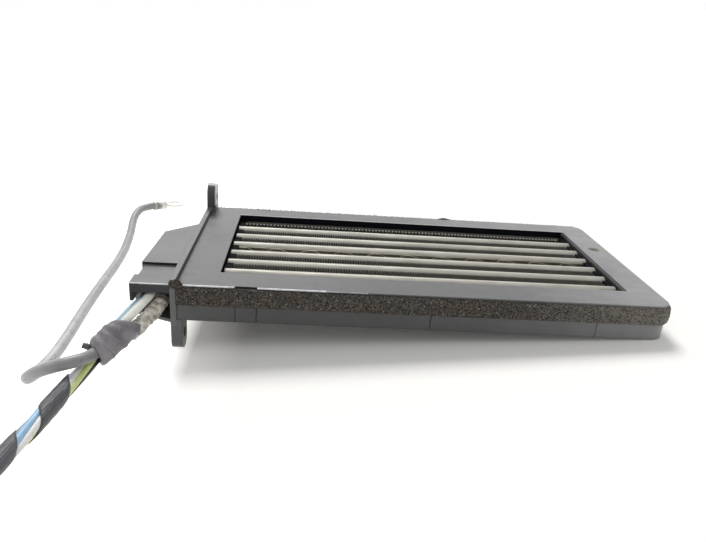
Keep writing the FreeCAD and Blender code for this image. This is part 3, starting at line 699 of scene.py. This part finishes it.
bundle = dict(
    diameter=0.0056, core=0.0020, length=0.1163, strandRadius=0.0013, strandOut=0.0014,
    pitch=0.13, tapeRadius=0.00285, tapeThick=0.00016, tapePitch=0.022, tapeCrumple=0.0001,
    tapeLap=0.00012, tapeEdge=0.0002,
    bands=[(0.0201, 1.1, 0.0175), (0.0516, 1.1, 0.0205), (0.0840, 1.1, 0.0210)], route=[
        (-0.0216, -0.0622, -0.0116), (-0.0248, -0.0669, -0.0139), (-0.0267, -0.0752, -0.0149),
        (-0.0292, -0.0868, -0.0160), (-0.0321, -0.1048, -0.0166), (-0.0344, -0.1217, -0.0166),
        (-0.0392, -0.1362, -0.0170), (-0.0482, -0.1463, -0.0176), (-0.0610, -0.1510, -0.01866),
        (-0.0745, -0.1510, -0.0196)],
    strands=[("white", (0.84, 0.83, 0.8), (0.74, 0.72, 0.68), 0.102),
             ("yellow", (0.74, 0.77, 0.36), (0.6, 0.68, 0.25), 0.282),
             ("black", (0.03, 0.03, 0.032), (0.02, 0.02, 0.022), 0.449),
             ("grey", (0.3, 0.3, 0.3), (0.22, 0.22, 0.22), 0.665),
             ("blue", (0.36, 0.57, 0.76), (0.26, 0.45, 0.66), -0.12)])
bundlePath, bundleAlong = resample(splinePath(bundle["route"], 40), 420)
bundleSide, bundleRise = frameAlong(bundlePath)


def strandMesh(name, phase):
    # helix round the bundle's line: line + out * (cos a * side + sin a * rise), a tube along it
    a = 2 * math.pi * (bundleAlong / bundle["pitch"] + phase)[:, None]
    path = bundlePath + bundle["strandOut"] * (np.cos(a) * bundleSide + np.sin(a) * bundleRise)
    return gridMesh(name, tubeAlong(path, 18, bundle["strandRadius"]), closeV=True, caps=True)


def onBundleAt(s, values):
    # values given along the bundle, read between its points at the distances s
    return np.stack([np.interp(s, bundleAlong, values[:, i]) for i in range(3)], -1)


def bundleTape(number, first, turns, wide):
    # band wound on a screw line: place along = first + pitch * turn + (w - 0.5) * wide; it
    # rises by tapeLap from end to end, crumples, and sinks at its edges
    name = "bundle_tape_" + str(number)
    t = np.linspace(0, turns, int(150 * turns) + 60)
    w = np.linspace(0, 1, 15)
    tt, ww = np.meshgrid(t, w, indexing="ij")
    a = 2 * math.pi * (tt - turns / 2 + 0.25)
    s = first + bundle["tapePitch"] * tt + (ww - 0.5) * wide
    s = np.clip(s, 0.0005, bundleAlong[-1] - 0.0003)
    radius = bundle["tapeRadius"] + bundle["tapeLap"] * tt / turns
    radius = radius + bundle["tapeCrumple"] * lumps(s * 900, a * 2, 5 + number)
    radius = radius - bundle["tapeEdge"] * np.abs(2 * ww - 1) ** 6
    skin = (onBundleAt(s, bundlePath)
            + (radius * np.cos(a))[..., None] * onBundleAt(s, bundleSide)
            + (radius * np.sin(a))[..., None] * onBundleAt(s, bundleRise))
    piece = addPiece(name, gridMesh(name, skin), bandFinish)
    wall = piece.modifiers.new("wall", "SOLIDIFY")
    wall.thickness = bundle["tapeThick"]
    wall.offset = -1
    return piece


bundleSkin = addPiece(
    "bundle_core", splineCurve("bundle_core", bundle["route"], bundle["core"]),
    bandFinish, "bundle")
onBundle = [bundleTape(i + 1, *band) for i, band in enumerate(bundle["bands"])]
for label, colour, deep, phase in bundle["strands"]:
    sheath = sheathMaterial("strand" + label.capitalize(), colour, deep)
    name = "strand_" + label
    onBundle.append(addPiece(name, strandMesh(name, phase), sheath))

lead = dict(
    radius=0.0022, length=0.2433, route=[
        (-0.0219, -0.0676, -0.0097), (-0.0243, -0.0717, -0.0112), (-0.0266, -0.0781, -0.0095),
        (-0.0323, -0.0819, -0.0095), (-0.0398, -0.0816, -0.0123), (-0.0452, -0.0787, -0.0175),
        (-0.0455, -0.0702, -0.0206), (-0.0442, -0.0570, -0.0214), (-0.0447, -0.0400, -0.0214),
        (-0.0469, -0.0020, -0.0215), (-0.0473, 0.0460, -0.0215), (-0.0516, 0.0800, -0.0213),
        (-0.0556, 0.1010, -0.0200), (-0.0564, 0.1130, -0.0186), (-0.0544, 0.1232, -0.0178),
        (-0.0478, 0.1274, -0.0178)])
leadPiece = addPiece(
    "ground_lead_skin", splineCurve("ground_lead_skin", lead["route"], lead["radius"]),
    finish["grey_lead"], "ground_lead")
print("cords ready")


# Tape wrap

wrap = dict(
    start=(-0.0162, -0.0592, -0.0057), end=(-0.0241, -0.0696, -0.0118), topRadius=0.0055,
    endRadius=0.0053, turns=3.2, step=0.0003, along=120, around=120, endRound=0.0006,
    wireBulge=0.00028, leadBulge=0.0009, leadAngle=306.0, lump=0.000185, skewFrom=216.4,
    startSkew=-0.0034, endSkew=0.0014)


def tapeWrap():
    # radius runs evenly from topRadius to endRadius and loses a small step over each turn of
    # tape; the three wires and the lead push it out, lumps roughen it, its ends are rounded
    # and slanted, and each is closed by a ring of a fifth of the radius
    start, end = np.array(wrap["start"]), np.array(wrap["end"])
    axis = (end - start) / np.linalg.norm(end - start)
    side = np.cross(axis, (0, 0, 1))
    side /= np.linalg.norm(side)
    rise = np.cross(side, axis)
    t = np.linspace(0, 1, wrap["along"])
    v = np.arange(wrap["around"]) / wrap["around"] * 2 * math.pi
    tt, vv = np.meshgrid(t, v, indexing="ij")
    spiral = (tt * wrap["turns"] + vv / (2 * math.pi)) % 1.0
    radius = wrap["topRadius"] + (wrap["endRadius"] - wrap["topRadius"]) * tt
    radius = radius - wrap["step"] * spiral - wrap["endRound"] * np.abs(2 * tt - 1) ** 8
    radius = radius + wrap["wireBulge"] * np.cos(3 * vv + 1.2) * (1 - 0.6 * tt)
    overLead = np.clip(np.cos(vv - math.radians(wrap["leadAngle"])), 0, 1) ** 2
    radius = radius + wrap["leadBulge"] * overLead * tt
    radius = radius + wrap["lump"] * lumps(tt * 9, vv, 11, low=0.8, high=3.0)
    slant = wrap["startSkew"] * (1 - tt) + wrap["endSkew"] * tt
    slide = np.cos(vv - math.radians(wrap["skewFrom"])) * slant
    spoke = np.cos(v)[:, None] * side + np.sin(v)[:, None] * rise
    skin = start + tt[..., None] * (end - start) + slide[..., None] * axis
    skin = skin + radius[..., None] * spoke
    first = start + 0.2 * radius[0][:, None] * spoke
    last = end + 0.2 * radius[-1][:, None] * spoke
    mesh = gridMesh("tape_wrap_skin", np.concatenate([first[None], skin, last[None]]),
                    closeV=True, caps=True)
    addPiece("tape_wrap_skin", mesh, finish["dark_tape"], "tape_wrap")


tapeWrap()

flap = dict(start=(-0.0256, -0.0683, -0.0115), end=(-0.0293, -0.0674, -0.0100), lift=0.0006,
            wide=0.0011, thick=0.0003)


def tapeFlap():
    # free end of the tape: a strip from start to end, lifted as a half sine, with a flat
    # rounded section: rise * wide * cos v - side * thick * sin v
    start, end = np.array(flap["start"]), np.array(flap["end"])
    t = np.linspace(0, 1, 30)
    path = start + t[:, None] * (end - start)
    path[:, 2] += flap["lift"] * np.sin(math.pi * t)
    side, rise = frameAlong(path, (0.0, 0.8, 0.6))
    v = np.arange(24)[:, None] / 24 * 2 * math.pi
    wide = flap["wide"] * (1 + 0.08 * lumps(t * 8, 0, 51))[:, None, None]
    skin = (path[:, None, :] + wide * np.cos(v) * rise[:, None, :]
            - flap["thick"] * np.sin(v) * side[:, None, :])
    mesh = gridMesh("tape_flap", skin, closeV=True, caps=True)
    addPiece("tape_flap", mesh, bandFinish)


tapeFlap()
print("tape wrap ready")


# Foam strip

foam = dict(
    left=0.0, right=0.194, halfWidth=0.05, corner=0.0055, top=0.0065, bottom=-0.0008,
    proud=0.0012, edgeSink=0.55, seat=0.0008, lump=0.00022, fine=0.00012, edgeWave=0.0001,
    farFrom=0.0485, farOver=0.001, farRise=0.0007, farWave=0.0004, stepAlong=0.00042,
    across=26)


def foamStrip():
    # plan line round three sides, with a cushion-shaped cross section carried along it:
    # out = proud * (1 - edgeSink * |2w - 1| ** 5), then lumps of two sizes push it in and
    # out, and its upper edge stands up by farRise along the far side
    r = foam["corner"]
    x0, x1, h = foam["left"], foam["right"], foam["halfWidth"]
    arc = np.linspace(0, math.pi / 2, 24)
    near = [(x0, -h), (x1 - r, -h)]
    nearArc = np.stack([x1 - r + r * np.sin(arc), -h + r - r * np.cos(arc)], -1)
    farArc = np.stack([x1 - r + r * np.cos(arc), h - r + r * np.sin(arc)], -1)
    plan = np.vstack([near, nearArc[1:], [(x1, 0.0)], farArc, [(x0, h)]])
    plan = np.hstack([plan, np.zeros((len(plan), 1))])
    total = np.linalg.norm(np.diff(plan, axis=0), axis=1).sum()
    path, s = resample(plan, int(total / foam["stepAlong"]))
    out = frameAlong(path)[0][:, None, :]
    w = np.linspace(0, 1, foam["across"])
    ss, ww = np.meshgrid(s, w, indexing="ij")
    edge = np.abs(2 * ww - 1)
    rough = lumps(ss * 700, ww * 5, 21, low=0.4, high=2.2) * foam["lump"]
    fine = lumps(ss * 4200, ww * 26, 22, low=0.5, high=2.4) * foam["fine"]
    depth = foam["proud"] * (1 - foam["edgeSink"] * edge ** 5)
    depth = depth + (rough + fine) * (1 - edge ** 8)
    z = foam["bottom"] + (foam["top"] - foam["bottom"]) * ww
    z = z + lumps(ss * 900, 1, 23, low=0.4, high=2.0) * foam["edgeWave"] * edge
    far = np.clip((path[:, 1:2] - foam["farFrom"]) / foam["farOver"], 0, 1)
    lift = foam["farRise"] + foam["farWave"] * lumps(ss * 1700, ww, 24)
    z = z + far * np.clip(ww * 4 - 3, 0, 1) * lift
    outer = path[:, None, :] + depth[..., None] * out
    outer[..., 2] = z
    inner = path[:, None, :] - foam["seat"] * out * np.ones((1, 2, 1))
    inner[:, 0, 2] = foam["top"]
    inner[:, 1, 2] = foam["bottom"]
    mesh = gridMesh("foam_strip", np.concatenate([outer, inner], axis=1),
                    closeV=True, caps=True)
    addPiece("foam_strip", mesh, finish["foam"], "foam_seal")


foamStrip()

# Crumbs of foam: one on the flange's near end, one above the far bar's edge
crumbs = [
    dict(name="crumb_flange", at=(0.0001, -0.0504, 0.0076), size=(0.0025, 0.0011, 0.0018)),
    dict(name="crumb_far", at=(0.1203, 0.0504, 0.0069), size=(0.0034, 0.0008, 0.0009))]


def foamCrumb(crumb, seed):
    # point = at + size * (1 + 0.2 * lumps) * unit sphere (u from pole to pole, v round it)
    u = np.linspace(0.02, math.pi - 0.02, 26)
    v = np.arange(40) / 40 * 2 * math.pi
    uu, vv = np.meshgrid(u, v, indexing="ij")
    ball = np.stack([np.sin(uu) * np.cos(vv), np.sin(uu) * np.sin(vv), np.cos(uu)], -1)
    swell = 1 + 0.2 * lumps(ball[..., 0] * 3, ball[..., 1] * 3 + ball[..., 2] * 4, seed)
    skin = np.array(crumb["at"]) + np.array(crumb["size"]) * ball * swell[..., None]
    mesh = gridMesh(crumb["name"], skin, closeV=True, caps=True, flip=True)
    addPiece(crumb["name"], mesh, finish["foam"])


for i, crumb in enumerate(crumbs):
    foamCrumb(crumb, 41 + i)
print("foam strip ready")
